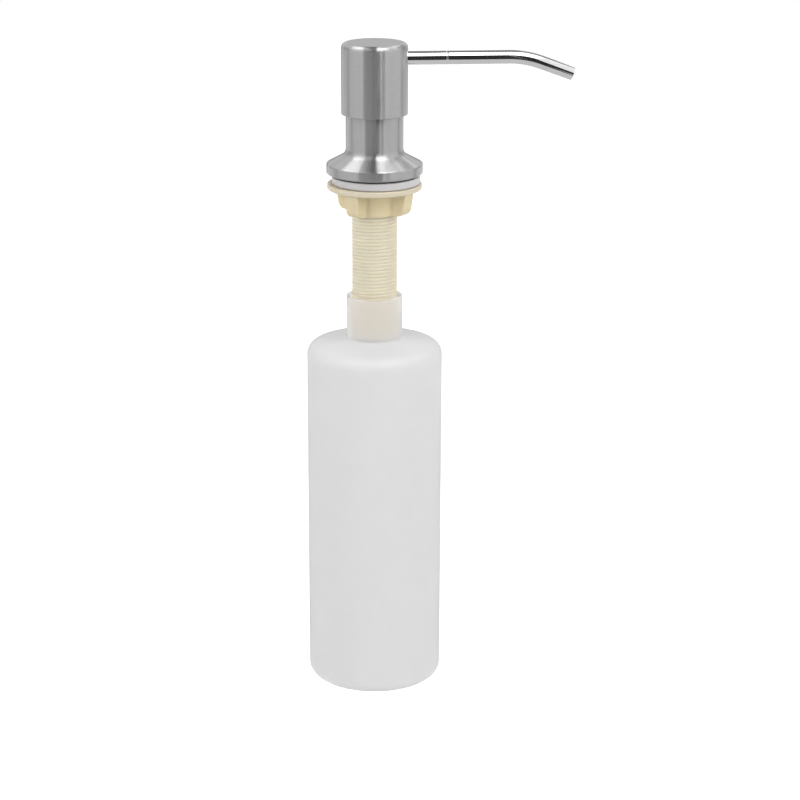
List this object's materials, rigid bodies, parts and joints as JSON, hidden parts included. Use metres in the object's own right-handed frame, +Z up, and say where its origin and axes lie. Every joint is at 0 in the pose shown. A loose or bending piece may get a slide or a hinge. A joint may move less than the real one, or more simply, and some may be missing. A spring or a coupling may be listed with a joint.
{
  "type": "soap dispenser",
  "caption": "Sink-deck soap dispenser: steel pump head with a swivelling bent spout over a flared base, threaded shank with a wing nut for the deck, and a translucent bottle below.",
  "frame": {"origin": "on the pump axis at the deck plane, the underside of the deck seal", "axes": "+Z up along the pump axis, +X along the spout"},
  "size_m": [0.1124, 0.0578, 0.2801],
  "materials": {
    "brushed_steel": "satin",
    "polished_steel": "polished",
    "black_rubber": "matte",
    "white_washer": "matte",
    "cream_plastic": "satin",
    "bottle_plastic": "satin",
    "pump_plastic": "satin",
    "spring_steel": "polished"
  },
  "bodies": {
    "mount": {"base_flange": "brushed_steel", "deck_gasket": "black_rubber", "threaded_shank": "cream_plastic"},
    "washer": {"clamp_washer": "white_washer"},
    "nut": {"mounting_nut": "cream_plastic"},
    "bottle": {"bottle": "bottle_plastic"},
    "pump": {"pump_housing": "pump_plastic", "housing_gasket": "black_rubber", "guide_collar": "pump_plastic", "stem_wiper": "black_rubber", "ball_retainer": "pump_plastic", "dip_tube": "pump_plastic", "return_spring": "spring_steel"},
    "inlet_valve": {"inlet_ball": "spring_steel"},
    "plunger": {"pump_stem": "pump_plastic", "piston": "pump_plastic", "piston_retainer": "pump_plastic"},
    "outlet_valve": {"outlet_ball": "spring_steel"},
    "head": {"head_cap": "brushed_steel", "head_insert": "pump_plastic", "spout_tube": "polished_steel", "spout_seal": "black_rubber"}
  },
  "joints": [
    {"name": "washer_slide", "type": "slide", "parent": "mount", "child": "washer", "axis": [0, 0, 1], "range_m": [-0.0345, 0]},
    {"name": "nut_turn", "type": "hinge", "parent": "washer", "child": "nut", "pos_m": [0, 0, 0], "axis": [0, 0, 1], "range_deg": [-8281, 0]},
    {"name": "bottle_drop", "type": "slide", "parent": "mount", "child": "bottle", "axis": [0, 0, -1], "range_m": [0, 0.17]},
    {"name": "pump_lift", "type": "slide", "parent": "mount", "child": "pump", "axis": [0, 0, 1], "range_m": [0, 0.25]},
    {"name": "inlet_ball_lift", "type": "slide", "parent": "pump", "child": "inlet_valve", "axis": [0, 0, 1], "range_m": [0, 0.002]},
    {"name": "pump_press", "type": "slide", "parent": "pump", "child": "plunger", "axis": [0, 0, -1], "range_m": [0, 0.0115], "stiffness_N_per_m": 450, "springref_m": -0.012, "deforming": ["return_spring"]},
    {"name": "outlet_ball_lift", "type": "slide", "parent": "plunger", "child": "outlet_valve", "axis": [0, 0, 1], "range_m": [0, 0.0015]},
    {"name": "head_swivel", "type": "hinge", "parent": "plunger", "child": "head", "pos_m": [0, 0, 0], "axis": [0, 0, 1], "continuous": true}
  ],
  "couplings": [
    {"joint": "nut_turn", "follows": "washer_slide", "rad_per_m": 4188.8}
  ]
}
